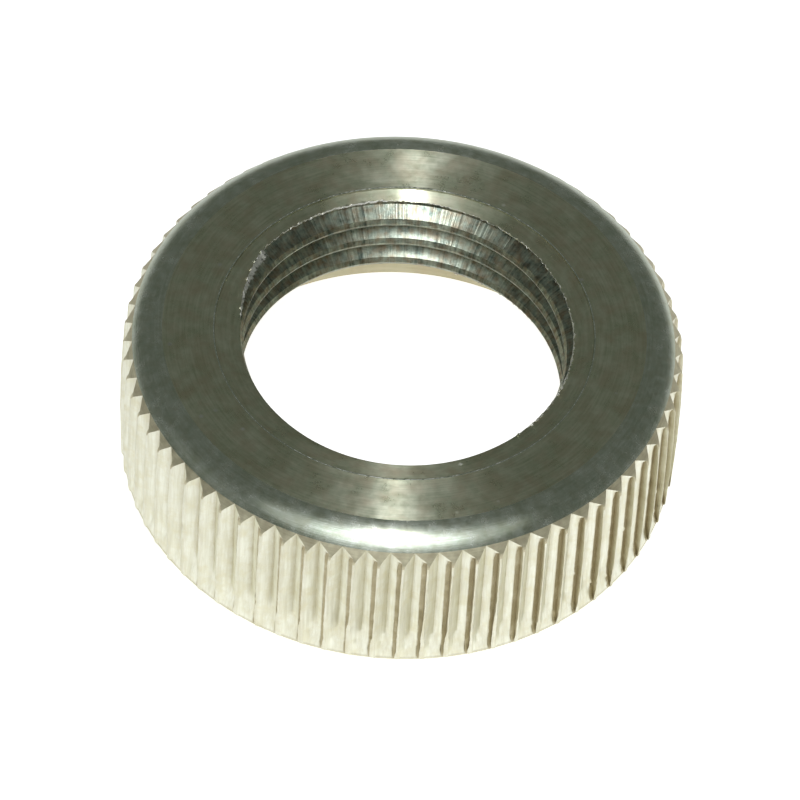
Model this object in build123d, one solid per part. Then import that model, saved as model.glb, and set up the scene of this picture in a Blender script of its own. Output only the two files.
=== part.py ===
"""Round valve nut with a straight-knurled rim, turned from brass bar.

Millimetres. The origin is the centre of the bottom face, and +Z runs up the
thread's axis to the face with the countersink. The knurl has a crest on +X.
"""
import os
from math import cos, pi, radians, sin, sqrt, tan

from build123d import *

# Rim.
crest_diameter = 19.1      # over the knurl's crests, at their middle
nut_height = 6.35
rim_swell = 0.05           # how much the crests stand higher at their middle than at their ends
swell_run = 1.6            # the length at each end over which they fall off
shoulder_radius = 1.28     # rounded edge under the top face
shoulder_slope = 38.5      # from the axis, where the round edge runs into the rim
crest_round = 0.4          # where the slope meets the crests
foot_chamfer = 0.5         # 45 degree chamfer round the bottom face

# One tooth of the knurl. Its two flanks differ, as rolling pushed the metal
# one way: a long flank falls from the crest to the groove's root, and a flat
# one rises to a lower edge just before the next crest.
groove_count = 72
groove_depth = 0.35
root_offset = 0.36         # degrees from half way between two crests
low_edge_depth = 0.19      # of the lower edge, under the crests
low_edge_place = -0.045    # along the rim, from the middle of the crest
ridge_height = 0.02        # of the sharp ridge that the flanks would make, over the crests
ridge_place = 0.07
run_out_height = 1.3       # where the grooves start to get shallower
run_out_rise = 0.24        # how much shallower they are at the foot

# Thread M12 x 1. The bore is cut to the thread's crests.
thread_major = 12.0
thread_pitch = 1.0
countersink_diameter = 12.85
countersink_angle = 132.0  # included angle of the cone

# Wide recess behind the thread, open at the bottom.
rim_wall = 1.65            # from the knurl's crests in to the recess's wall
recess_depth = 3.3
recess_break = 0.15        # 45 degree edge break at the recess's mouth

crest_radius = crest_diameter / 2
end_radius = crest_radius - rim_swell
root_radius = crest_radius - groove_depth
bore_radius = (thread_major - 2 * (5 / 8) * (sqrt(3) / 2) * thread_pitch) / 2
countersink_radius = countersink_diameter / 2
countersink_depth = (countersink_radius - bore_radius) / tan(radians(countersink_angle / 2))
recess_radius = crest_radius - rim_wall

# The round edge ends on the radius of the grooves' roots, so that every
# groove runs out in a point where the slope begins.
slope = radians(shoulder_slope)
arc_centre_radius = root_radius - shoulder_radius * cos(slope)
slope_height = (end_radius - root_radius) / tan(slope)

# The blank is one turned section, before the grooves are rolled in.
with BuildSketch(Plane.XZ) as section:
    with BuildLine() as outline:
        shoulder = CenterArc(
            (arc_centre_radius, nut_height - shoulder_radius),
            shoulder_radius, shoulder_slope, 90 - shoulder_slope,
        )
        slope_start = shoulder @ 0
        slope_end_z = slope_start.Y - slope_height
        rim = Polyline(
            slope_start,
            (end_radius, slope_end_z),
            (crest_radius, slope_end_z - swell_run),
            (crest_radius, foot_chamfer + swell_run),
            (end_radius, foot_chamfer),
            (end_radius - foot_chamfer, 0),
            (recess_radius + recess_break, 0),
        )
        inside = Polyline(
            shoulder @ 1,
            (countersink_radius, nut_height),
            (bore_radius, nut_height - countersink_depth),
            (bore_radius, recess_depth),
            (recess_radius, recess_depth),
            (recess_radius, recess_break),
            rim @ 1,
        )
    make_face()
    slope_foot = section.vertices().sort_by_distance((end_radius, slope_end_z, 0))[0]
    fillet(slope_foot, crest_round)
blank = revolve(section.sketch, Axis.Z)


def rim_point(radius, angle):
    return (radius * cos(angle), radius * sin(angle))


def knurl_corners():
    """Corners of the toothed star that the blank is cut down to. The blank blunts its ridges."""
    corners = []
    for tooth in range(groove_count):
        crest_at = 2 * pi * tooth / groove_count
        root_at = crest_at - pi / groove_count + radians(root_offset)
        corners += [
            rim_point(root_radius, root_at),
            rim_point(crest_radius - low_edge_depth, crest_at + low_edge_place / crest_radius),
            rim_point(crest_radius + ridge_height, crest_at + ridge_place / crest_radius),
        ]
    return corners


star_face = make_face(Polyline(*knurl_corners(), close=True))
star = extrude(star_face, nut_height)

# Near the foot the grooves' bottoms rise on a cone.
foot_radius = root_radius + run_out_rise
with BuildSketch(Plane.XZ) as run_out_section:
    with BuildLine() as run_out_outline:
        Polyline(
            (arc_centre_radius, 0),
            (foot_radius, 0),
            (foot_radius, foot_chamfer),
            (root_radius, run_out_height),
            (arc_centre_radius, run_out_height),
            close=True,
        )
    make_face()
run_out = revolve(run_out_section.sketch, Axis.Z)

valve_nut = (blank & (star + run_out)).solids()[0]
valve_nut.label = "valve_nut"

os.makedirs("parts", exist_ok=True)
export_step(valve_nut, "parts/valve_nut.step")

box = valve_nut.bounding_box()
print("valve_nut: %.3f x %.3f x %.3f mm, volume %.1f mm3, %d faces, valid %s" % (
    box.size.X, box.size.Y, box.size.Z, valve_nut.volume,
    len(valve_nut.faces()), valve_nut.is_valid))
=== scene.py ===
# %% [markdown]
# # A knurled valve nut
# A small round nut from a valve: turned from brass bar, knurled round the rim
# so that fingers can grip it, tapped with a fine thread and plated with
# nickel. It is one solid piece of metal, so this scene has one mesh. Each
# cell below follows a step in the making of the real nut.

# %% Frame
import random
from math import atan2, ceil, cos, hypot, pi, radians, sin, sqrt, tan

import bmesh
import bpy
from mathutils import Matrix, Vector, noise


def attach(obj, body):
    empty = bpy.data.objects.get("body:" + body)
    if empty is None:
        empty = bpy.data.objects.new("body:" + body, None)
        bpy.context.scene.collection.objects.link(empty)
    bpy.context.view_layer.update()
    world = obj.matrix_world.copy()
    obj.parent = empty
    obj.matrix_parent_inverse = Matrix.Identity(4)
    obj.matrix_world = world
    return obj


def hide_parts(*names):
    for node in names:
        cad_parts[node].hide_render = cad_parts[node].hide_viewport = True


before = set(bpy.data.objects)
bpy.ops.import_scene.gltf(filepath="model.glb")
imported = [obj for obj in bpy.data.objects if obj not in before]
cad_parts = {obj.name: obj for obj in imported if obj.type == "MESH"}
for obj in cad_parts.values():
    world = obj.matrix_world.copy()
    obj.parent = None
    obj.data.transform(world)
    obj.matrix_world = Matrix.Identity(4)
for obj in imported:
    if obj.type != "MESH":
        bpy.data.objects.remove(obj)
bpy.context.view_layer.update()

# %% [markdown]
# ## Sizes of the rim
# The mesh is worked out in millimetres and scaled to metres at the very end,
# because numbers like 9.5 are easier to read than 0.0095. The top face lies a
# hair under the full height, so that the burrs that stand up from it end at
# the full height and the nut stays inside its real size.

# %% Sizes of the rim
crest_radius = 9.55
rim_swell = 0.05
swell_run = 1.6
end_radius = crest_radius - rim_swell
nut_height = 6.35
burr_allowance = 0.012
face_z = nut_height - burr_allowance
shoulder_radius = 1.28
shoulder_slope = radians(38.5)
crest_round = 0.4
foot_chamfer = 0.5
groove_count = 72
groove_depth = 0.35
root_offset = radians(0.36)
low_edge_depth = 0.19
low_edge_place = -0.045
low_edge_width = 0.022
ridge_height = 0.02
ridge_place = 0.07
pitch_angle = 2 * pi / groove_count
half_pitch = pitch_angle / 2
root_radius = crest_radius - groove_depth
arc_centre_radius = root_radius - shoulder_radius * cos(shoulder_slope)
shoulder_z = face_z - shoulder_radius
slope_top_z = shoulder_z + shoulder_radius * sin(shoulder_slope)
slope_foot_z = slope_top_z - (end_radius - root_radius) / tan(shoulder_slope)
print("face ends at radius %.3f, slope ends at z %.3f" % (arc_centre_radius, slope_foot_z))

# %% [markdown]
# ## Sizes of the hole
# The thread is a metric fine one, 12 mm across with a turn every millimetre.
# Its crests stand 5/8 of the sharp V's height inside the roots. Above it the
# hole opens in a shallow countersink, below it in a wide recess.

# %% Sizes of the hole
thread_root_radius = 6.0
thread_pitch = 1.0
thread_sharp_height = sqrt(3) / 2 * thread_pitch
bore_radius = thread_root_radius - 5 / 8 * thread_sharp_height
countersink_radius = 12.85 / 2
countersink_slope = tan(radians(132 / 2))
countersink_z = nut_height - (countersink_radius - bore_radius) / countersink_slope
recess_radius = 7.9
recess_depth = 3.3
recess_break = 0.15
print("thread crest radius %.3f, countersink ends at z %.3f" % (bore_radius, countersink_z))

# %% [markdown]
# ## Camera
# A long lens from about 27 cm away flattens the perspective the way the
# photograph does, and the camera leans by almost four degrees, which is why
# the nut's right side sits lower. The nut's middle shows a little off the
# picture's, so the line of sight is turned by as many pixels.

# %% Camera
photo_side_px = 800
sensor_mm = 36
focal_px = 8000.0
camera_distance = 272.6
camera_elevation = radians(50.27)
camera_bearing = radians(-2.25)
camera_lean = radians(3.74)
aim_height = 3.43
aim_px = (400.94, 386.14)


def towards(bearing, elevation):
    """The direction from the nut to a place in the room. Bearing 0 is the front."""
    return Vector((
        sin(bearing) * cos(elevation), -cos(bearing) * cos(elevation), sin(elevation)))


away = towards(camera_bearing, camera_elevation)
level_right = Vector((cos(camera_bearing), sin(camera_bearing), 0))
level_up = away.cross(level_right)
image_right = cos(camera_lean) * level_right + sin(camera_lean) * level_up
image_up = cos(camera_lean) * level_up - sin(camera_lean) * level_right
camera_place = Vector((0, 0, aim_height)) + away * camera_distance
sight = (
    away
    + image_right * ((aim_px[0] - photo_side_px / 2) / focal_px)
    + image_up * ((photo_side_px / 2 - aim_px[1]) / focal_px)
).normalized()
image_right = (image_right - sight * image_right.dot(sight)).normalized()
image_up = sight.cross(image_right)

lens = bpy.data.cameras.new("camera")
lens.sensor_width = sensor_mm
lens.lens = sensor_mm * focal_px / photo_side_px
lens.clip_start = 0.01
lens.clip_end = 10
camera = bpy.data.objects.new("camera", lens)
bpy.context.scene.collection.objects.link(camera)
turn = Matrix((image_right, image_up, sight)).transposed().to_4x4()
camera.matrix_world = Matrix.Translation(camera_place * 0.001) @ turn
bpy.context.scene.camera = camera
print("camera, mm:", [round(c, 1) for c in camera_place], "lens, mm:", lens.lens)

# %% [markdown]
# ## One tooth of the knurl
# A knurling wheel presses 72 straight grooves into the turned bar. It pushes
# the metal one way, so the two flanks of a groove differ: a long one falls
# from the crest to the root, a flat one rises to a lower edge just before the
# next crest, and between that edge and the crest a narrow sunken strip is
# left. Each tooth is made in two halves, which meet at an upright wall where
# the crest begins.

# %% Cross-section of a tooth
TURNED, FLANK, SLOPE, THREAD, RECESS, SHOULDER, CLOSING = range(7)
merge_distance = 0.002
same_angle = 1e-5
same_line = 1e-4
near = 0.002
close = 0.01


def at_angle(radius, angle, z=0):
    return Vector((radius * cos(angle), radius * sin(angle), z))


def radius_of(place):
    return hypot(place.x, place.y)


def angle_of(place):
    return atan2(place.y, place.x)


crest_slope = atan2(rim_swell, swell_run)
round_angle = shoulder_slope - crest_slope
middle_normal = (shoulder_slope + crest_slope) / 2
round_reach = crest_round / cos(round_angle / 2)
round_radius = end_radius - round_reach * cos(middle_normal)
round_z = slope_foot_z - round_reach * sin(middle_normal)
round_foot_z = round_z + crest_round * sin(crest_slope)
step_radius = round_radius + crest_round * cos(shoulder_slope)
step_top_z = round_z + crest_round * sin(shoulder_slope)
step_foot_z = step_radius - end_radius + foot_chamfer

wall_angle = root_offset
first_root = at_angle(root_radius, root_offset - half_pitch)
last_root = at_angle(root_radius, root_offset + half_pitch)
wall_foot = at_angle(step_radius, wall_angle)
ridge = at_angle(crest_radius + ridge_height, ridge_place / crest_radius)
print("the low flank meets the crest's wall at radius %.3f, z %.3f" % (step_radius, step_top_z))

# %% [markdown]
# ## Outline of the rim
# A half tooth starts as the outline of the rim: the round shoulder, the slope
# that leads down to the crests, the straight rim and the foot's chamfer. The
# two arcs are spun from single vertices, and the straight pieces after them
# are divided in rows, so that the crests' edges can be made ragged later.

# %% Outline of the rim
shoulder_steps = 12
round_steps = 5
slope_rows = 4
rim_rows = 18
chamfer_rows = 3


def rim_outline(bm):
    """Draws the outline and returns the heights of its corners above the chamfer."""
    arcs = []
    for start, centre, angle, steps in (
        ((arc_centre_radius, 0, face_z), (arc_centre_radius, 0, shoulder_z),
            pi / 2 - shoulder_slope, shoulder_steps),
        ((step_radius, 0, step_top_z), (round_radius, 0, round_z), round_angle, round_steps),
    ):
        first = bm.verts.new(start)
        spun = bmesh.ops.spin(
            bm, geom=[first], cent=centre, axis=(0, 1, 0), angle=angle, steps=steps)
        last = [v for v in spun["geom_last"] if isinstance(v, bmesh.types.BMVert)][0]
        arcs.append((first, last))
    pieces = [(bm.edges.new((arcs[0][1], arcs[1][0])), slope_rows)]
    last = arcs[1][1]
    for radius, z, rows in (
        (crest_radius, slope_foot_z - swell_run, rim_rows),
        (crest_radius, foot_chamfer + swell_run, rim_rows),
        (end_radius, foot_chamfer, rim_rows),
        (step_radius, step_foot_z, 1),
        (end_radius - foot_chamfer, 0, chamfer_rows),
    ):
        corner = bm.verts.new((radius, 0, z))
        pieces.append((bm.edges.new((last, corner)), rows))
        last = corner
    for piece, rows in pieces:
        bmesh.ops.subdivide_edges(bm, edges=[piece], cuts=rows - 1)
    return sorted({round(v.co.z, 5) for v in bm.verts if foot_chamfer - close < v.co.z})


# %% [markdown]
# ## Half a tooth
# Spinning the outline through half a pitch gives a plain ring segment. The
# flank is flat, so one flat cut takes the groove away, and where that cut
# meets the slope it leaves the pointed run-out that real straight knurls
# have. The hole is filled with one face, which is then cut into rows at the
# outline's heights and into columns at a few places across the tooth.

# %% Half a tooth
sector_columns = 4


def everything(bm):
    return bm.verts[:] + bm.edges[:] + bm.faces[:]


def cut_faces(bm, material, place, direction):
    """Divides the faces of one material by a plane."""
    faces = [f for f in bm.faces if f.material_index == material]
    geom = dict.fromkeys(faces)
    for face in faces:
        geom.update(dict.fromkeys((*face.edges, *face.verts)))
    bmesh.ops.bisect_plane(
        bm, geom=list(geom), dist=same_line, plane_co=place, plane_no=direction)


def half_tooth(first_angle, low, high, columns_at):
    """One half, cut by the upright plane from low, a root, to high."""
    bm = bmesh.new()
    heights = rim_outline(bm)
    bmesh.ops.rotate(
        bm, verts=bm.verts, cent=(0, 0, 0), matrix=Matrix.Rotation(first_angle, 3, "Z"))
    bmesh.ops.spin(
        bm, geom=bm.verts[:] + bm.edges[:], cent=(0, 0, 0), axis=(0, 0, 1),
        angle=half_pitch, steps=sector_columns,
    )
    for face in bm.faces:
        on_slope = face.calc_center_median().z < slope_top_z
        face.material_index = SLOPE if on_slope else SHOULDER
    outward = Vector((high.y - low.y, low.x - high.x, 0)).normalized()
    if outward.x < 0:
        outward.negate()
    cut = bmesh.ops.bisect_plane(
        bm, geom=everything(bm), dist=same_line, plane_co=low, plane_no=outward,
        clear_outer=True)["geom_cut"]
    edges = [e for e in cut if isinstance(e, bmesh.types.BMEdge)]
    corners = [v for v in cut if isinstance(v, bmesh.types.BMVert)]
    for end_angle in (first_angle, first_angle + half_pitch):
        end = [v for v in corners if abs(angle_of(v.co) - end_angle) < same_angle]
        if len(end) == 2:
            edges.append(bm.edges.new(end))
    for face in bmesh.ops.contextual_create(bm, geom=edges)["faces"]:
        face.material_index = FLANK
    for height in heights:
        if height < slope_top_z - close:
            cut_faces(bm, FLANK, (0, 0, height), (0, 0, 1))
    for across in columns_at:
        cut_faces(bm, FLANK, (0, across, 0), (0, 1, 0))
    return bm, heights


strip_start = low_edge_place + low_edge_width
left_columns = (-0.24, -0.12, low_edge_place, strip_start)
right_columns = (0.2, 0.33)
rim, row_heights = half_tooth(wall_angle - half_pitch, first_root, wall_foot, left_columns)
right_half, _ = half_tooth(wall_angle, last_root, ridge, right_columns)
print("halves of a tooth: %d and %d faces" % (len(rim.faces), len(right_half.faces)))

# %% [markdown]
# ## The wall between the halves
# The two halves share the shoulder but not the crest: there the right half
# stands higher. Joining them leaves a narrow upright gap, which one face
# fills, cut into the same rows. Flanks, wall and crests are rolled metal. The
# slope between them and the shoulder stays turned, and so does the chamfer.


# %% Wall
def at_wall(vert):
    return abs(angle_of(vert.co) - wall_angle) < same_angle


half_mesh = bpy.data.meshes.new("half")
right_half.to_mesh(half_mesh)
right_half.free()
rim.from_mesh(half_mesh)
bpy.data.meshes.remove(half_mesh)
bmesh.ops.remove_doubles(rim, verts=rim.verts, dist=merge_distance / 4)
gap = [e for e in rim.edges if e.is_boundary and all(at_wall(v) for v in e.verts)]
for face in bmesh.ops.contextual_create(rim, geom=gap)["faces"]:
    face.material_index = CLOSING
for height in row_heights:
    cut_faces(rim, CLOSING, (0, 0, height), (0, 0, 1))
print("wall: %d faces" % sum(f.material_index == CLOSING for f in rim.faces))

leaning = 0.3
rim.normal_update()
for face in rim.faces:
    middle = face.calc_center_median()
    if face.material_index == CLOSING:
        face.material_index = FLANK
    elif middle.z < foot_chamfer and abs(face.normal.z) > leaning:
        face.material_index = TURNED
    elif middle.z < round_foot_z and radius_of(middle) > end_radius - 2 * near:
        face.material_index = FLANK

# %% [markdown]
# ## The sunken strip
# Each vertex near the crest is told what it belongs to, so that later cells
# can find it again on all the teeth. The strip beside the wall goes down to
# the surface of the bar before it was rolled.

# %% Sunken strip
crest_parts = (1, 2, 3, 4)
LOW_EDGE, STRIP, CREST_START, CREST_END = crest_parts
low_edge_radius = crest_radius - low_edge_depth
strip_radius = 9.33
strip_run_in = 0.15
crest_part = rim.verts.layers.int.new("crest_part")
for vert in rim.verts:
    x, y, z = vert.co
    radius = hypot(x, y)
    in_strip = strip_start - same_line < y < wall_angle * crest_radius
    if not foot_chamfer - near / 2 < z < step_top_z - near / 2:
        continue
    if at_wall(vert) and radius > step_radius + near:
        vert[crest_part] = CREST_START
    elif radius > end_radius - near:
        vert[crest_part] = CREST_END
    elif abs(y - low_edge_place) < same_line and radius > low_edge_radius - close:
        vert[crest_part] = LOW_EDGE
    elif in_strip and radius < step_radius + near / 2:
        vert[crest_part] = STRIP
        sink = min(1, (step_top_z - z) / strip_run_in)
        share = (radius - strip_radius) * sink / radius
        vert.co.x -= x * share
        vert.co.y -= y * share
print("crest vertices:", [sum(v[crest_part] == part for v in rim.verts) for part in crest_parts])

# %% [markdown]
# ## Run-out at the foot
# Towards the foot the wheel pressed less deep. The grooves' bottoms rise
# there, so vertices that lie deeper than that rising floor are lifted to it.

# %% Run-out
run_out_height = 1.3
run_out_blend = 0.9
run_out_rise = 0.24
run_out_top = run_out_height + run_out_blend
foot_floor = root_radius + run_out_rise


def groove_floor(z):
    """The radius of the grooves' bottoms, which rises gently first, then steadily."""
    share = min(max((run_out_top - z) / (run_out_top - foot_chamfer), 0), 1)
    return root_radius + run_out_rise * share * share * sqrt(3 - 2 * share)


lifted = 0
for vert in rim.verts:
    z = vert.co.z
    radius = radius_of(vert.co)
    on_flank = any(
        face.material_index in (FLANK, SLOPE) and abs(face.normal.z) < leaning
        for face in vert.link_faces)
    if z > run_out_top or not on_flank or radius > end_radius - near:
        continue
    low = groove_floor(z)
    if radius < low - same_line:
        lifted += 1
        vert.co.x *= low / radius
        vert.co.y *= low / radius
        if z < foot_chamfer - close:
            vert.co.z = foot_floor - end_radius + foot_chamfer
print("lifted vertices:", lifted)

# %% [markdown]
# ## All the teeth
# A spin that duplicates sets 72 teeth round the axis. Merging the doubled
# vertices joins them into one rim.

# %% Teeth
bmesh.ops.spin(
    rim, geom=everything(rim), cent=(0, 0, 0), axis=(0, 0, 1),
    angle=2 * pi - pitch_angle, steps=groove_count - 1, use_duplicate=True,
)
bmesh.ops.remove_doubles(rim, verts=rim.verts, dist=merge_distance)
print("rim:", len(rim.verts), "vertices,", len(rim.faces), "faces")

# %% [markdown]
# ## Marks for the materials
# The rolled metal is painted dull and brownish in the sunken strips, on the lower edges, at the
# grooves' roots, round the foot's edge and a little on the crests' edges. In the strips that is
# partly real plate that nothing rubs clean and partly painted shade of the narrow crevice. On
# the lower edges it is painted shade, at the roots it is painted shade that fades out towards
# the foot, and round the foot it is a painted contact shadow. Each vertex keeps its share of
# that in a first attribute, which the rolled metal reads. A second attribute says where metal is
# torn up, and there the turned finishes paint a near-white glint into the colour. Both fade out
# over the next row of faces.


# %% Marks for the materials
def smooth_step(low, high, value):
    share = min(max((value - low) / (high - low), 0), 1)
    return share * share * (3 - 2 * share)


# Shares of painted shade and dull plate for each part of the crest: the strip is partly both,
# the lower edge is painted shade.
shade_and_wear_parts = {LOW_EDGE: 0.75, STRIP: 1.0, CREST_START: 0.25, CREST_END: 0.15}
painted_foot_shadow = 0.5
painted_root_shade = 0.35
root_shade_start, root_shade_end = 1.0, 2.4
# The second attribute marks torn metal, where the turned finishes paint a near-white glint.
burr_glint_layer = rim.verts.layers.float.new("burr_and_glint")
shade_and_wear_layer = rim.verts.layers.float.new("shade_and_wear")
for vert in rim.verts:
    z = vert.co.z
    if vert[crest_part]:
        vert[shade_and_wear_layer] = shade_and_wear_parts[vert[crest_part]]
    # A painted contact shadow round the foot's edge, then painted shade at the roots that fades
    # out towards the foot.
    elif abs(z - foot_chamfer) < close:
        vert[shade_and_wear_layer] = painted_foot_shadow
    elif abs(radius_of(vert.co) - groove_floor(z)) < close:
        vert[shade_and_wear_layer] = painted_root_shade * smooth_step(root_shade_start, root_shade_end, z)
print("worn: %d vertices" % sum(v[shade_and_wear_layer] > 0 for v in rim.verts))

# %% [markdown]
# ## Habits of the crests
# The crest leans over the strip beside it, and near the foot it closes over
# it, tears or folds. No two crests are the same, so each tooth has its own
# habits: how far its strip stays open, the height under which it closes, how
# far it closes, and its tears, each with a height and a size in millimetres.
# The teeth nearest the camera follow what the photograph shows, counted from
# the nearest one, and the others come from a seeded random choice.

# %% Habits of the crests
habit_names = ("open", "closes", "closed", "tears")
camera_tooth_angle = radians(-90)
nearest_tooth = round(camera_tooth_angle / pitch_angle) % groove_count
chance = random.Random(27)
crest_habits = {}
for tooth in range(groove_count):
    crest_habits[tooth] = {
        "open": chance.uniform(-0.01, 0.03),
        "closes": chance.uniform(0.5, 1.6),
        "closed": chance.uniform(0.3, 1.0),
        "tears": [(chance.uniform(0.7, 3.2), 0.12) for _ in range(chance.choice((0, 0, 1, 2)))],
    }
seen_crests = {
    -8: (0.005, 0.7, 0.6, []),
    -7: (0.005, 0.9, 0.6, [(1.5, 0.1)]),
    -6: (0.005, 1.5, 0.5, [(1.8, 0.1)]),
    -5: (0.008, 1.6, 0.9, []),
    -4: (0.010, 1.5, 1.0, [(0.95, 0.1)]),
    -3: (0.005, 0.8, 0.7, []),
    -2: (0.015, 2.1, 1.0, [(2.0, 0.1)]),
    -1: (0.015, 1.45, 1.0, []),
    0: (0.005, 0.7, 0.8, []),
    1: (0.020, 2.2, 0.7, [(2.0, 0.22), (1.26, 0.2)]),
    2: (0.020, 1.7, 0.9, [(1.45, 0.18)]),
    3: (0.005, 0.8, 0.8, []),
    4: (0.015, 2.4, 0.8, [(3.25, 0.16), (2.15, 0.26), (1.35, 0.08)]),
    5: (0.025, 0.8, 0.7, []),
    6: (0.015, 1.1, 0.7, [(1.0, 0.1)]),
    7: (0.010, 0.8, 0.7, []),
    8: (0.015, 0.9, 0.7, [(2.6, 0.1)]),
}
for teeth_right, habit in seen_crests.items():
    tooth = (nearest_tooth + teeth_right) % groove_count
    crest_habits[tooth] = dict(zip(habit_names, habit))
print("teeth with tears:", sum(bool(habit["tears"]) for habit in crest_habits.values()))

# %% [markdown]
# ## Unevenness
# Smooth noise bends the crests' edges. Each kind of bend reads its own part
# of the noise: how far apart the teeth read it, where the first one reads,
# the row, and how many bends come to a millimetre of height. A crest leans
# by a fixed amount, more towards the foot, then waves and ripples, and below
# its closing height it leans right over the strip.

# %% Unevenness
bends = {
    "wave": (7.3, 0, 3.1, 2.2),
    "ripple": (5.7, 40, 9.4, 8.0),
    "tear": (3.9, 0, 5.0, 14.0),
    "low edge": (2.9, 0, 1.0, 5.0),
    "torn start": (1.9, 0, 7.0, 11.0),
    "crest end": (4.3, 0, 11.0, 3.0),
}
plain_lean = 0.012
foot_lean = 0.02
wave_lean = 0.016
ripple_lean = 0.012
closed_lean = 0.075
closing_run = 0.25
taper_top, taper_foot = 5.0, 0.8


def bend(kind, tooth, z):
    apart, start, row, per_mm = bends[kind]
    return noise.noise(Vector((tooth * apart + start, row, z * per_mm)))


def lean(tooth, z):
    """How far the crest leans over the strip, in mm. Less than nothing: it lies back."""
    habit = crest_habits[tooth]
    closes = habit["closes"]
    closed = 1 - smooth_step(closes - closing_run, closes + closing_run, z)
    taper = smooth_step(taper_top, taper_foot, z)
    shift = -habit["open"] + plain_lean + foot_lean * taper
    shift += wave_lean * bend("wave", tooth, z)
    shift += ripple_lean * bend("ripple", tooth, z) * (0.5 + taper)
    return shift + closed_lean * closed * habit["closed"]


def tear(tooth, z):
    """How torn the crest is at height z, from 0 to 1."""
    worst = 0
    for tear_z, tear_height in crest_habits[tooth]["tears"]:
        reach = max(0, 1 - abs(z - tear_z) / tear_height)
        jagged = 0.75 + 0.5 * bend("tear", tooth, z)
        worst = max(worst, min(1, 2 * reach) * jagged)
    return worst


print("the nearest crest leans, mm:", [round(lean(nearest_tooth, z), 3) for z in (1, 3, 5)])

# %% [markdown]
# ## Ragged crests
# Now every vertex of a crest is moved along the rim and up or down. The strip
# gets a little wider than it was cut, because its low side is drawn back and
# down. A leaning crest stops just short of that side, so that the mesh never
# runs through itself, and a torn one pushes it up.

# %% Ragged crests
strip_width = wall_angle * crest_radius - low_edge_place
strip_widening = 0.045
least_strip = 0.028
strip_middle = low_edge_place + 0.03
low_edge_sink = 0.023
low_edge_bumps = 0.015
low_edge_push = 0.02
low_edge_bulge = 0.05
most_strip_shift = 0.01
most_lying_back = 0.05
torn_retreat = 0.02
torn_drop = 0.03
torn_spread = 0.03
crest_end_wobble = 0.012
top_fade = 0.35
foot_fade_start, foot_fade_end = 0.45, 0.6


def ragged(part, tooth, across, radius, z, torn):
    """Where a vertex goes: its new place across the tooth and its new radius."""
    fade = smooth_step(step_top_z, step_top_z - top_fade, z)
    fade *= smooth_step(foot_fade_start, foot_fade_end, z)
    move = lean(tooth, z) * fade
    if part == LOW_EDGE:
        push = min(0.25 * max(move, 0) + low_edge_push * torn, low_edge_push)
        across += push + min(move, 0) - strip_widening * fade
        radius += low_edge_bulge * torn - low_edge_sink * fade
        radius += low_edge_bumps * bend("low edge", tooth, z) * fade
    elif part == STRIP and across < strip_middle:
        across -= strip_widening * fade
    elif part == STRIP:
        across += max(0, min(move, most_strip_shift))
    elif part == CREST_START:
        over = max(move, -most_lying_back) - torn_retreat * torn
        across -= min(over, strip_width - least_strip)
        radius -= torn_drop * torn * (0.5 + bend("torn start", tooth, z))
    else:
        across += crest_end_wobble * bend("crest end", tooth, z) * fade + torn_spread * torn
    return across, min(radius, crest_radius - near / 2)


for vert in rim.verts:
    part = vert[crest_part]
    if part == 0:
        continue
    radius, angle, z = radius_of(vert.co), angle_of(vert.co), vert.co.z
    tooth = round((angle - root_offset) / pitch_angle)
    across = radius * (angle - tooth * pitch_angle)
    tooth %= groove_count
    torn = tear(tooth, z)
    if part in (CREST_START, CREST_END):
        vert[burr_glint_layer] = torn
    across, radius = ragged(part, tooth, across, radius, z, torn)
    vert.co = at_angle(radius, tooth * pitch_angle + across / radius, z)
print("ragged crests: %d vertices torn up" % sum(v[burr_glint_layer] > 0.1 for v in rim.verts))

# %% [markdown]
# ## Inside of the nut
# Everything inside the rim is turned too: the face, the countersink, the
# bore that the tap will cut, and the wide recess under the thread. One path
# spun right round gives it all. Its steps match the rim's columns, so that
# the two meet vertex to vertex. The tool left a fine raised ring round the
# countersink, given here as distances out from its edge and shares of its
# height. The ledge is an extra ring in the recess's ceiling: chips stay
# inside it, so the rest of the ceiling is flat. A last run of the path inside
# the metal closes the shape, because a Boolean cut needs a closed solid, and
# is removed again before welding.

# %% Turned inside
columns = groove_count * sector_columns * 2
face_rings = 6
cone_rings = 16
ledge_radius = 6.3
raised_ring = [(0.10, 0.0), (0.055, 0.6), (0.03, 1.0), (0.0, 0.3)]
raised_top_radius = countersink_radius + 0.03
inside = bmesh.new()
face_path = [
    (arc_centre_radius, face_z),
    *[(countersink_radius + out, face_z + burr_allowance * up) for out, up in raised_ring],
    (countersink_radius - 0.02, face_z - 0.05),
]
bore_path = [
    (bore_radius, countersink_z),
    (bore_radius, recess_depth),
    (ledge_radius, recess_depth),
    (recess_radius, recess_depth),
    (recess_radius, recess_break),
    (recess_radius + recess_break, 0),
    (end_radius - foot_chamfer, 0),
]
path = [inside.verts.new((r, 0, z)) for r, z in face_path + bore_path]
path_edges = [inside.edges.new(pair) for pair in zip(path, path[1:])]
path_edges.append(inside.edges.new((path[-1], path[0])))
face_edge, cone_edge = path_edges[0], path_edges[len(face_path) - 1]
bmesh.ops.subdivide_edges(inside, edges=[face_edge], cuts=face_rings - 1)
bmesh.ops.subdivide_edges(inside, edges=[cone_edge], cuts=cone_rings - 1)
bmesh.ops.rotate(
    inside, verts=inside.verts, cent=(0, 0, 0), matrix=Matrix.Rotation(root_offset, 3, "Z"))
bmesh.ops.spin(
    inside, geom=inside.verts[:] + inside.edges[:], cent=(0, 0, 0), axis=(0, 0, 1),
    angle=2 * pi, steps=columns, use_merge=True,
)
bmesh.ops.remove_doubles(inside, verts=inside.verts, dist=merge_distance)
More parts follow.
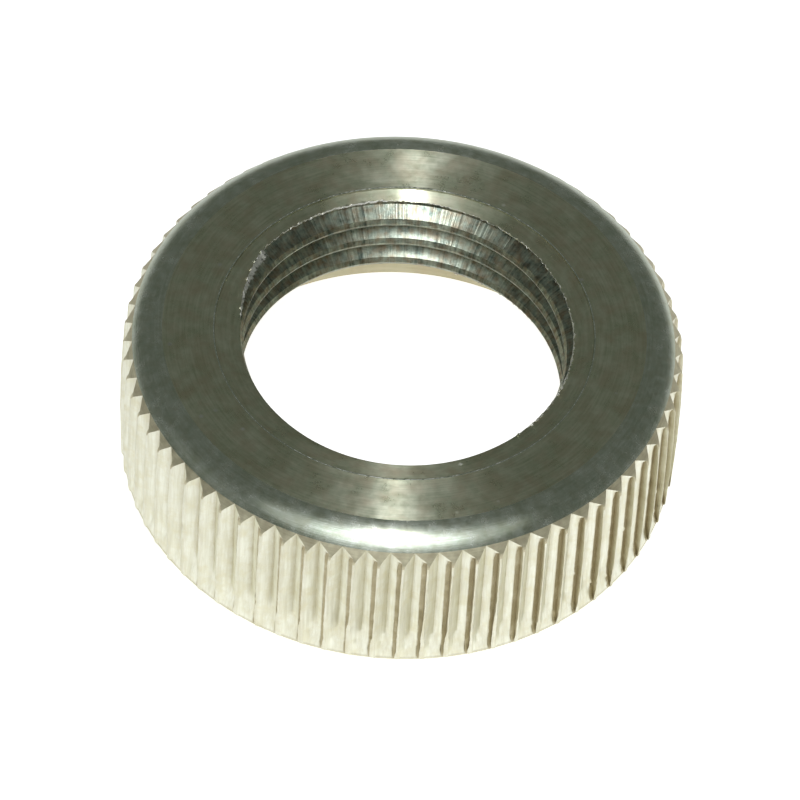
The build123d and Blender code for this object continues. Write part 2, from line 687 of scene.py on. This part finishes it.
for face in inside.faces:
    middle = face.calc_center_median()
    radius = radius_of(middle)
    if radius > recess_radius + recess_break and close < middle.z < face_z - close:
        face.material_index = CLOSING
    elif middle.z < recess_depth + close:
        face.material_index = RECESS
    elif middle.z < countersink_z - close:
        face.material_index = THREAD
    elif abs(radius - raised_top_radius) < 0.03:
        face.material_index = SHOULDER
    else:
        face.material_index = TURNED
bmesh.ops.recalc_face_normals(inside, faces=inside.faces)
print("inside:", len(inside.faces), "faces, closed:", all(e.is_manifold for e in inside.edges))

# %% [markdown]
# ## The tap
# A tap is a screw, so the cutter is a screw too: the V of one thread groove,
# spun several turns while it climbs one pitch a turn. Its flat outer edge is
# the thread's root. Near its inner side the V widens faster, which breaks the
# thread's sharp crests, as a real tap and the plating do.

# %% Tap
tap_steps_a_turn = 240
tap_turns = 4.7
tap_start_angle = radians(87.75 + 180)
tap_start_z = 2.535
crest_break = 0.09
crest_break_half = 0.484
root_half = thread_pitch / 16
flank_half = root_half + (thread_root_radius - bore_radius - crest_break) / sqrt(3)
tap_profile = [
    (5.30, thread_pitch / 2),
    (bore_radius + 0.004, crest_break_half),
    (bore_radius + crest_break, flank_half),
    (thread_root_radius, root_half),
]
tap = bmesh.new()
tap_ring = [tap.verts.new((r, 0, tap_start_z - h)) for r, h in tap_profile]
tap_ring += [tap.verts.new((r, 0, tap_start_z + h)) for r, h in reversed(tap_profile)]
for pair in zip(tap_ring, tap_ring[1:] + tap_ring[:1]):
    tap.edges.new(pair)
bmesh.ops.rotate(
    tap, verts=tap.verts, cent=(0, 0, 0), matrix=Matrix.Rotation(tap_start_angle, 3, "Z"))
bmesh.ops.spin(
    tap, geom=tap.verts[:] + tap.edges[:], cent=(0, 0, 0), axis=(0, 0, 1),
    dvec=(0, 0, thread_pitch / tap_steps_a_turn), angle=2 * pi * tap_turns,
    steps=ceil(tap_steps_a_turn * tap_turns),
)
bmesh.ops.holes_fill(tap, edges=[e for e in tap.edges if e.is_boundary], sides=0)
bmesh.ops.recalc_face_normals(tap, faces=tap.faces)
for face in tap.faces:
    face.material_index = THREAD
print("tap:", len(tap.faces), "faces, closed:", all(e.is_manifold for e in tap.edges))

# %% [markdown]
# ## Tapping the bore
# A Boolean difference takes the screw out of the bore, as the real tap cuts
# it. The turns could be modelled directly, but where they run out through the
# countersink and the recess the edge is a curve that only a real cut finds.
# The exact solver keeps each face's material.


# %% Tapping the bore
def as_object(name, bm):
    """A bmesh as an object in the scene."""
    mesh = bpy.data.meshes.new(name)
    bm.to_mesh(mesh)
    made = bpy.data.objects.new(name, mesh)
    bpy.context.scene.collection.objects.link(made)
    return made


sleeve = as_object("sleeve", inside)
tap_tool = as_object("tap_tool", tap)
cutting = sleeve.modifiers.new("tapping", "BOOLEAN")
cutting.object = tap_tool
cutting.operation = "DIFFERENCE"
cutting.solver = "EXACT"
bpy.context.view_layer.update()
shaped = sleeve.evaluated_get(bpy.context.evaluated_depsgraph_get())
tapped_mesh = bpy.data.meshes.new_from_object(shaped)
tapped = bmesh.new()
tapped.from_mesh(tapped_mesh)
bpy.data.objects.remove(sleeve)
bpy.data.objects.remove(tap_tool)
bpy.data.meshes.remove(tapped_mesh)
print("tapped:", len(tapped.faces), "faces, closed:", all(e.is_manifold for e in tapped.edges))
print("materials:", {i: sum(f.material_index == i for f in tapped.faces) for i in range(7)})

# %% [markdown]
# ## Burrs
# Where the tap breaks out through the countersink it leaves a thin torn edge that catches the
# light, and where it leaves the recess's ceiling the edge is chipped. The vertices on those two
# edges are pulled up or down by noise, and the raised ring is dented. All of them get a share in
# the attribute for torn metal, through which the turned finishes paint a near-white glint into
# their colour.

# %% Burrs
burr_height = 0.10
burr_flare = 0.004
chip_depth = 0.09
ring_dents = 0.9
ring_shine = 0.6
# Torn and chipped metal here also gets a painted near-white glint in the turned finishes.
tapped_burr_glint = tapped.verts.layers.float.new("burr_and_glint")
for vert in tapped.verts:
    kinds = {face.material_index for face in vert.link_faces}
    radius = radius_of(vert.co)
    jag = noise.noise(vert.co * 9.0) + 0.6 * noise.noise(vert.co * 23.0)
    if {TURNED, THREAD} <= kinds and radius > bore_radius + 0.12:
        tall = max(0, 0.45 + jag)
        vert.co.z += burr_height * tall
        vert.co.x *= 1 + burr_flare * tall
        vert.co.y *= 1 + burr_flare * tall
        vert[tapped_burr_glint] = 1
    elif abs(vert.co.z - recess_depth) < close and radius < ledge_radius - 0.1:
        vert.co.z -= chip_depth * max(0, jag)
        vert[tapped_burr_glint] = min(1, max(0, jag))
    elif abs(radius - raised_top_radius) < 0.006 and vert.co.z > face_z:
        vert.co.z -= burr_allowance * ring_dents * max(0, 0.3 - jag)
        vert[tapped_burr_glint] = ring_shine
print("burrs: %d vertices" % sum(v[tapped_burr_glint] > 0 for v in tapped.verts))

# %% [markdown]
# ## Welding
# The rim and the inside are joined into one mesh and their touching vertices
# merged, which leaves one closed shell, as the real nut is one piece.

# %% Welding
bmesh.ops.delete(
    tapped, geom=[f for f in tapped.faces if f.material_index == CLOSING], context="FACES")
inner_mesh = bpy.data.meshes.new("inner")
tapped.to_mesh(inner_mesh)
rim.from_mesh(inner_mesh)
bpy.data.meshes.remove(inner_mesh)
bmesh.ops.remove_doubles(rim, verts=rim.verts, dist=merge_distance)
bmesh.ops.dissolve_degenerate(rim, dist=1e-5, edges=rim.edges)
bmesh.ops.recalc_face_normals(rim, faces=rim.faces)
bmesh.ops.scale(rim, vec=(0.001, 0.001, 0.001), verts=rim.verts)
open_edges = sum(not e.is_manifold for e in rim.edges)
triangles = sum(len(f.verts) - 2 for f in rim.faces)
print("nut: %d faces, %d triangles, %d open edges, %.1f mm3" % (
    len(rim.faces), triangles, open_edges, rim.calc_volume() * 1e9))

sharp_edge_angle = radians(28)
nut_mesh = bpy.data.meshes.new("knurled_nut")
rim.to_mesh(nut_mesh)
for bm in (rim, inside, tap, tapped):
    bm.free()
nut_mesh.shade_smooth()
nut_mesh.set_sharp_from_angle(angle=sharp_edge_angle)
nut = bpy.data.objects.new("knurled_nut", nut_mesh)
bpy.context.scene.collection.objects.link(nut)
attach(nut, "root")
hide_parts("valve_nut")

# %% [markdown]
# ## Helpers for materials
# Colours are written as the eye knows them, in sRGB hex, and turned to the
# linear values that the renderer works with. One helper adds any node. A
# pattern's scale is its number of spots to a metre, so 9 * mm_in_m is nine
# spots to a millimetre, and mm_in_m / 0.9 is one every 0.9 mm.

# %% Material helpers
mm_in_m = 1000


def colour(hex_code):
    """An sRGB hex colour as linear RGBA."""
    shares = [int(hex_code[i:i + 2], 16) / 255 for i in (1, 3, 5)]
    return (*[s / 12.92 if s <= 0.04045 else ((s + 0.055) / 1.055) ** 2.4 for s in shares], 1)


def add(tree, kind, inputs=None, **settings):
    """Adds a node, sets its options, and gives its inputs values or links."""
    made = tree.nodes.new(kind)
    for name, value in settings.items():
        setattr(made, name, value)
    for name, value in (inputs or {}).items():
        if isinstance(value, bpy.types.NodeSocket):
            tree.links.new(value, made.inputs[name])
        else:
            made.inputs[name].default_value = value
    return made


def new_material(name):
    made = bpy.data.materials.new(name)
    made.use_nodes = True
    made.node_tree.nodes.clear()
    return made, made.node_tree


print("the grey #808080 is linear %.3f" % colour("#808080")[0])

# %% [markdown]
# ## Nickel plate over turned brass
# Nickel is a warm, slightly yellow white metal. A lathe tool leaves fine
# rings on the brass, and the thin plate follows them, so the metal spreads
# reflections across the rings and hardly along them. That is what draws the
# bright bow tie on the face. Anisotropy with a tangent that runs round the
# axis does this on every turned surface.
#
# The rings are noise read on a circle. Its height grows by one with each
# ring, and its radius sets how long a streak runs round the nut: 5.27 gives
# about 33 streaks to a turn. On the thread the noise is stretched the other
# way, 440 streaks to a turn and 3 mm tall, for the upright marks of the tap.
# Over it lie blotches, brown stains, and specks whose near-white colour is a painted glint:
# small nicks, and torn metal where the attribute for torn metal says so. The rings are really
# about 0.02 mm apart, and are drawn three times as wide so that they show.


# %% Turned metal
def turned_metal(
    name, light, dark, stain, roughness, brushed, ring_mm, ring_depth_mm, blotch_mm,
    nick_glints=0.0, noise_circle=5.27,
):
    """Turned metal. Brushed is how far the rings spread light; the argument for nicks says how
    bright their painted glints are.
    """
    made, tree = new_material(name)
    place = add(tree, "ShaderNodeTexCoord").outputs["Object"]
    split = add(tree, "ShaderNodeSeparateXYZ", {0: place})
    flat = add(tree, "ShaderNodeCombineXYZ", {"X": split.outputs["X"], "Y": split.outputs["Y"]})
    radius = add(tree, "ShaderNodeVectorMath", {0: flat.outputs[0]}, operation="LENGTH")
    run = add(tree, "ShaderNodeMath",
        {0: radius.outputs["Value"], 1: split.outputs["Z"]}, operation="SUBTRACT")
    lane = add(tree, "ShaderNodeMath",
        {0: run.outputs[0], 1: mm_in_m / ring_mm}, operation="MULTIPLY")
    heading = add(tree, "ShaderNodeVectorMath", {0: flat.outputs[0]}, operation="NORMALIZE")
    arc = add(tree, "ShaderNodeVectorMath",
        {0: heading.outputs[0], "Scale": noise_circle}, operation="SCALE")
    climb = add(tree, "ShaderNodeCombineXYZ", {"Z": lane.outputs[0]})
    streak = add(tree, "ShaderNodeVectorMath", {0: arc.outputs[0], 1: climb.outputs[0]})
    rings = add(tree, "ShaderNodeTexNoise",
        {"Vector": streak.outputs[0], "Scale": 1.0, "Detail": 3.0, "Roughness": 0.6})

    # Colour: rings and blotches between dark and light, then stains.
    blotch = add(tree, "ShaderNodeTexNoise",
        {"Vector": place, "Scale": mm_in_m / blotch_mm, "Detail": 5.0, "Roughness": 0.7})
    shade = add(tree, "ShaderNodeMath",
        {0: rings.outputs["Fac"], 1: 0.6, 2: blotch.outputs["Fac"]}, operation="MULTIPLY_ADD")
    spread = add(tree, "ShaderNodeMapRange",
        {"Value": shade.outputs[0], "From Min": 0.6, "From Max": 1.0})
    tint = add(tree, "ShaderNodeMix",
        {0: spread.outputs[0], "A": dark, "B": light}, data_type="RGBA")
    stains = add(tree, "ShaderNodeTexNoise",
        {"Vector": place, "Scale": 1.6 * mm_in_m / blotch_mm, "Detail": 3.0, "W": 4.0},
        noise_dimensions="4D")
    stained = add(tree, "ShaderNodeMapRange",
        {"Value": stains.outputs["Fac"], "From Min": 0.4, "From Max": 0.75, "To Max": 0.6})
    tint = add(tree, "ShaderNodeMix",
        {0: stained.outputs[0], "A": tint.outputs[2], "B": stain}, data_type="RGBA")

    # Painted glints: torn metal in specks of about 0.1 mm, and nicks about 1 mm apart, turn near
    # white.
    burr_and_glint = add(tree, "ShaderNodeAttribute", attribute_name="burr_and_glint")
    speck = add(tree, "ShaderNodeTexNoise",
        {"Vector": place, "Scale": 9.0 * mm_in_m, "Detail": 2.0})
    torn = add(tree, "ShaderNodeMath",
        {0: burr_and_glint.outputs["Fac"], 1: speck.outputs["Fac"]}, operation="MULTIPLY")
    torn = add(tree, "ShaderNodeMapRange",
        {"Value": torn.outputs[0], "From Min": 0.22, "From Max": 0.34})
    cells = add(tree, "ShaderNodeTexVoronoi", {"Vector": place, "Scale": 0.9 * mm_in_m})
    nick_glint = add(tree, "ShaderNodeMapRange",
        {"Value": cells.outputs["Distance"], "From Min": 0.02, "From Max": 0.09,
            "To Min": nick_glints, "To Max": 0.0})
    torn = add(tree, "ShaderNodeMath",
        {0: torn.outputs[0], 1: nick_glint.outputs[0]}, operation="MAXIMUM")
    tint = add(tree, "ShaderNodeMix",
        {0: torn.outputs[0], "A": tint.outputs[2], "B": colour("#FFFDF4")}, data_type="RGBA")

    # Gloss: the tangent runs round the axis, and torn metal is rough.
    around = add(tree, "ShaderNodeVectorMath",
        {0: (0, 0, 1), 1: place}, operation="CROSS_PRODUCT")
    tangent = add(tree, "ShaderNodeVectorMath", {0: around.outputs[0]}, operation="NORMALIZE")
    relief = add(tree, "ShaderNodeBump",
        {"Height": rings.outputs["Fac"], "Strength": 0.6, "Distance": ring_depth_mm / mm_in_m})
    rough = add(tree, "ShaderNodeMapRange",
        {"Value": blotch.outputs["Fac"], "From Min": 0.3, "From Max": 0.7,
            "To Min": roughness * 0.85, "To Max": roughness * 1.15})
    rough = add(tree, "ShaderNodeMix", {0: torn.outputs[0], "A": rough.outputs[0], "B": 0.7})
    metal = add(tree, "ShaderNodeBsdfPrincipled", {
        "Base Color": tint.outputs[2], "Metallic": 1.0, "Roughness": rough.outputs["Result"],
        "Anisotropic": brushed, "Anisotropic Rotation": 0.25,
        "Normal": relief.outputs[0], "Tangent": tangent.outputs[0]})
    add(tree, "ShaderNodeOutputMaterial", {"Surface": metal.outputs[0]})
    return made


# %% [markdown]
# ## Five turned finishes
# The face and the chamfer are plain turned nickel. The round edge is smoother
# and greyer, and the slope between the crests' tips is duller, because the
# knurling wheel has dragged over it. The thread is greenish grey with brown
# brass showing where the plate is thin, and the recess is a plain cream.

# %% Turned finishes
turned_nickel = turned_metal(
    "turned_nickel", colour("#E2E2C8"), colour("#BABFA0"), colour("#C6B496"),
    roughness=0.3, brushed=1.0, ring_mm=0.07, ring_depth_mm=0.006, blotch_mm=0.9, nick_glints=0.8)
dragged_slope = turned_metal(
    "dragged_slope", colour("#E2DBBE"), colour("#C4BC9C"), colour("#B4A68A"),
    roughness=0.5, brushed=0.3, ring_mm=0.08, ring_depth_mm=0.006, blotch_mm=0.5)
tapped_brass = turned_metal(
    "tapped_brass", colour("#C0C8B4"), colour("#56625A"), colour("#987450"),
    roughness=0.33, brushed=0.8, ring_mm=3.0, ring_depth_mm=0.012, blotch_mm=0.4,
    noise_circle=70.0)
bored_recess = turned_metal(
    "bored_recess", colour("#E6E0C6"), colour("#CFC9A8"), colour("#C9B897"),
    roughness=0.36, brushed=0.8, ring_mm=0.08, ring_depth_mm=0.004, blotch_mm=2.0)
rounded_edge = turned_metal(
    "rounded_edge", colour("#DADED0"), colour("#B2BAA4"), colour("#B4B49A"),
    roughness=0.25, brushed=0.8, ring_mm=0.07, ring_depth_mm=0.003, blotch_mm=0.5)
print("nodes in a turned finish:", len(turned_nickel.node_tree.nodes))

# %% [markdown]
# ## Rolled flanks of the knurl
# The wheel presses the grooves, so their metal is smeared upright, not turned: satin, with faint
# streaks about 0.12 mm wide that run along the groove. Mapping squeezes the noise's height to
# draw them. Where the first attribute of the marks says so, the colour is painted dull and
# brownish, partly real dull plate and partly painted shade and contact shadow, broken up by the
# same patches that vary the roughness. A grain finer than the streaks roughens the surface.


# %% Rolled nickel
def rolled_metal(name, light, dark, stain, dull_and_shaded):
    made, tree = new_material(name)
    place = add(tree, "ShaderNodeTexCoord").outputs["Object"]
    upright = add(tree, "ShaderNodeMapping", {0: place, "Scale": (1, 1, 0.08)})
    streaks = add(tree, "ShaderNodeTexNoise",
        {"Vector": upright.outputs[0], "Scale": 8.0 * mm_in_m, "Detail": 3.0, "Roughness": 0.6})
    patches = add(tree, "ShaderNodeTexNoise",
        {"Vector": place, "Scale": 1.8 * mm_in_m, "Detail": 4.0, "Roughness": 0.7})
    spread = add(tree, "ShaderNodeMapRange",
        {"Value": streaks.outputs["Fac"], "From Min": 0.35, "From Max": 0.65})
    tint = add(tree, "ShaderNodeMix",
        {0: spread.outputs[0], "A": dark, "B": light}, data_type="RGBA")
    stained = add(tree, "ShaderNodeMapRange",
        {"Value": patches.outputs["Fac"], "From Min": 0.45, "From Max": 0.7, "To Max": 0.7})
    tint = add(tree, "ShaderNodeMix",
        {0: stained.outputs[0], "A": tint.outputs[2], "B": stain}, data_type="RGBA")
    # Painted shade and dull plate: the marks' first attribute pulls the colour towards a
    # brownish tint.
    marked = add(tree, "ShaderNodeAttribute", attribute_name="shade_and_wear")
    broken = add(tree, "ShaderNodeMath", {0: patches.outputs["Fac"], 1: 0.5}, operation="ADD")
    shade_and_wear = add(tree, "ShaderNodeMath",
        {0: marked.outputs["Fac"], 1: broken.outputs[0]}, operation="MULTIPLY", use_clamp=True)
    tint = add(tree, "ShaderNodeMix",
        {0: shade_and_wear.outputs[0], "A": tint.outputs[2], "B": dull_and_shaded}, data_type="RGBA")
    grain = add(tree, "ShaderNodeTexNoise",
        {"Vector": place, "Scale": 14.0 * mm_in_m, "Detail": 2.0})
    height = add(tree, "ShaderNodeMath",
        {0: grain.outputs["Fac"], 1: streaks.outputs["Fac"]}, operation="ADD")
    relief = add(tree, "ShaderNodeBump",
        {"Height": height.outputs[0], "Strength": 0.5, "Distance": 0.01 / mm_in_m})
    rough = add(tree, "ShaderNodeMapRange",
        {"Value": patches.outputs["Fac"], "From Min": 0.3, "From Max": 0.7,
            "To Min": 0.4, "To Max": 0.52})
    metal = add(tree, "ShaderNodeBsdfPrincipled", {
        "Base Color": tint.outputs[2], "Metallic": 1.0, "Roughness": rough.outputs[0],
        "Normal": relief.outputs[0]})
    add(tree, "ShaderNodeOutputMaterial", {"Surface": metal.outputs[0]})
    return made


# The last colour is the dull plate and painted shade that the marks call for.
rolled_nickel = rolled_metal(
    "rolled_nickel", colour("#F1F0E0"), colour("#E0DDC8"), colour("#E4DEC0"), colour("#B2A789"))
finishes = {
    TURNED: turned_nickel, FLANK: rolled_nickel, SLOPE: dragged_slope,
    THREAD: tapped_brass, RECESS: bored_recess, SHOULDER: rounded_edge,
}
for part in sorted(finishes):
    nut_mesh.materials.append(finishes[part])
print("finishes:", [material.name for material in nut_mesh.materials])

# %% [markdown]
# ## Floor
# A white sheet of paper. It has to look white to the camera, yet keep the
# nut's shadow, so it is pale paper that also glows a little for the camera's
# rays. Mirrored rays see a pool of light that is bright round the nut and
# fades over 9 cm: the metal shows the paper beside it, and the rim stays dark
# where it mirrors the far floor. From below the paper is clear, so that the
# underside can be looked at.

# %% Floor
floor_radius = 1.0
camera_glow = 0.82
pool_centre = (0.02, -0.02, 0)
pool_radius = 0.09
pool_glow, far_glow = 0.75, 0.15
paper, tree = new_material("white_paper")
path_kind = add(tree, "ShaderNodeLightPath")
mirrored = add(tree, "ShaderNodeMath",
    {0: path_kind.outputs["Is Glossy Ray"], 1: path_kind.outputs["Is Transmission Ray"]},
    operation="MAXIMUM")
paper_place = add(tree, "ShaderNodeTexCoord").outputs["Object"]
from_pool = add(tree, "ShaderNodeVectorMath",
    {0: paper_place, 1: pool_centre}, operation="DISTANCE")
pool = add(tree, "ShaderNodeMapRange", {
    "Value": from_pool.outputs["Value"], "From Min": 0.0, "From Max": pool_radius,
    "To Min": pool_glow, "To Max": far_glow})
mirror_glow = add(tree, "ShaderNodeMath",
    {0: mirrored.outputs[0], 1: pool.outputs[0]}, operation="MULTIPLY")
glow_strength = add(tree, "ShaderNodeMath",
    {0: path_kind.outputs["Is Camera Ray"], 1: camera_glow, 2: mirror_glow.outputs[0]},
    operation="MULTIPLY_ADD")
glow = add(tree, "ShaderNodeEmission",
    {"Color": colour("#FFFFFF"), "Strength": glow_strength.outputs[0]})
grain = add(tree, "ShaderNodeTexNoise", {"Vector": paper_place, "Scale": 0.4 * mm_in_m})
pale = add(tree, "ShaderNodeMix",
    {0: grain.outputs["Fac"], "A": colour("#E9E9E6"), "B": colour("#EFEFEC")}, data_type="RGBA")
matt = add(tree, "ShaderNodeBsdfDiffuse", {"Color": pale.outputs[2]})
lit = add(tree, "ShaderNodeAddShader", {0: matt.outputs[0], 1: glow.outputs[0]})
clear = add(tree, "ShaderNodeBsdfTransparent")
side = add(tree, "ShaderNodeNewGeometry")
shown = add(tree, "ShaderNodeMixShader",
    {0: side.outputs["Backfacing"], 1: lit.outputs[0], 2: clear.outputs[0]})
add(tree, "ShaderNodeOutputMaterial", {"Surface": shown.outputs[0]})

sheet = bmesh.new()
bmesh.ops.create_circle(sheet, cap_ends=True, segments=96, radius=floor_radius)
floor_mesh = bpy.data.meshes.new("floor")
sheet.to_mesh(floor_mesh)
sheet.free()
floor = bpy.data.objects.new("floor", floor_mesh)
floor_mesh.materials.append(paper)
bpy.context.scene.collection.objects.link(floor)
print("floor: %.1f m across" % (2 * floor_radius))

# %% [markdown]
# ## Light
# A narrow lamp hangs high on the camera's side. It draws the lens of light on
# the near shoulder and the bow tie on the face. A wide soft ceiling with a
# dimmer edge round it lights the flanks, a weak card on the left keeps that
# side from going dark, and the room itself is dim and even.


# %% Light
def soft_lamp(name, bearing, elevation, distance, width, height, strength, tint):
    """An elliptical lamp that faces the nut. Strength is its brightness."""
    light = bpy.data.lights.new(name, "AREA")
    light.shape = "ELLIPSE"
    light.size, light.size_y = width, height
    light.energy = strength * pi * width * height * pi / 4
    light.color = tint[:3]
    lamp = bpy.data.objects.new(name, light)
    direction = towards(bearing, elevation)
    lamp.location = direction * distance
    lamp.rotation_mode = "QUATERNION"
    lamp.rotation_quaternion = direction.to_track_quat("Z", "Y")
    bpy.context.scene.collection.objects.link(lamp)
    print("%s: %.3f W" % (name, light.energy))


soft_lamp(
    "key_lamp", camera_bearing, radians(75), distance=0.4, width=0.021, height=0.125,
    strength=56.0, tint=colour("#F4F6FF"))
soft_lamp(
    "ceiling", camera_bearing, radians(60), distance=0.4, width=0.29, height=0.25,
    strength=1.8, tint=colour("#EEF4FF"))
soft_lamp(
    "ceiling_edge", camera_bearing, radians(60), distance=0.41, width=0.56, height=0.44,
    strength=0.6, tint=colour("#F2F6F8"))
soft_lamp(
    "left_card", camera_bearing - radians(75), radians(32), distance=0.4, width=0.29,
    height=0.17, strength=0.12, tint=colour("#F2F6FA"))

room_strength = 0.17
room = bpy.data.worlds.new("room")
room.use_nodes = True
room.node_tree.nodes["Background"].inputs["Color"].default_value = colour("#EAF4EC")
room.node_tree.nodes["Background"].inputs["Strength"].default_value = room_strength
bpy.context.scene.world = room
bpy.context.scene.view_settings.view_transform = "Standard"
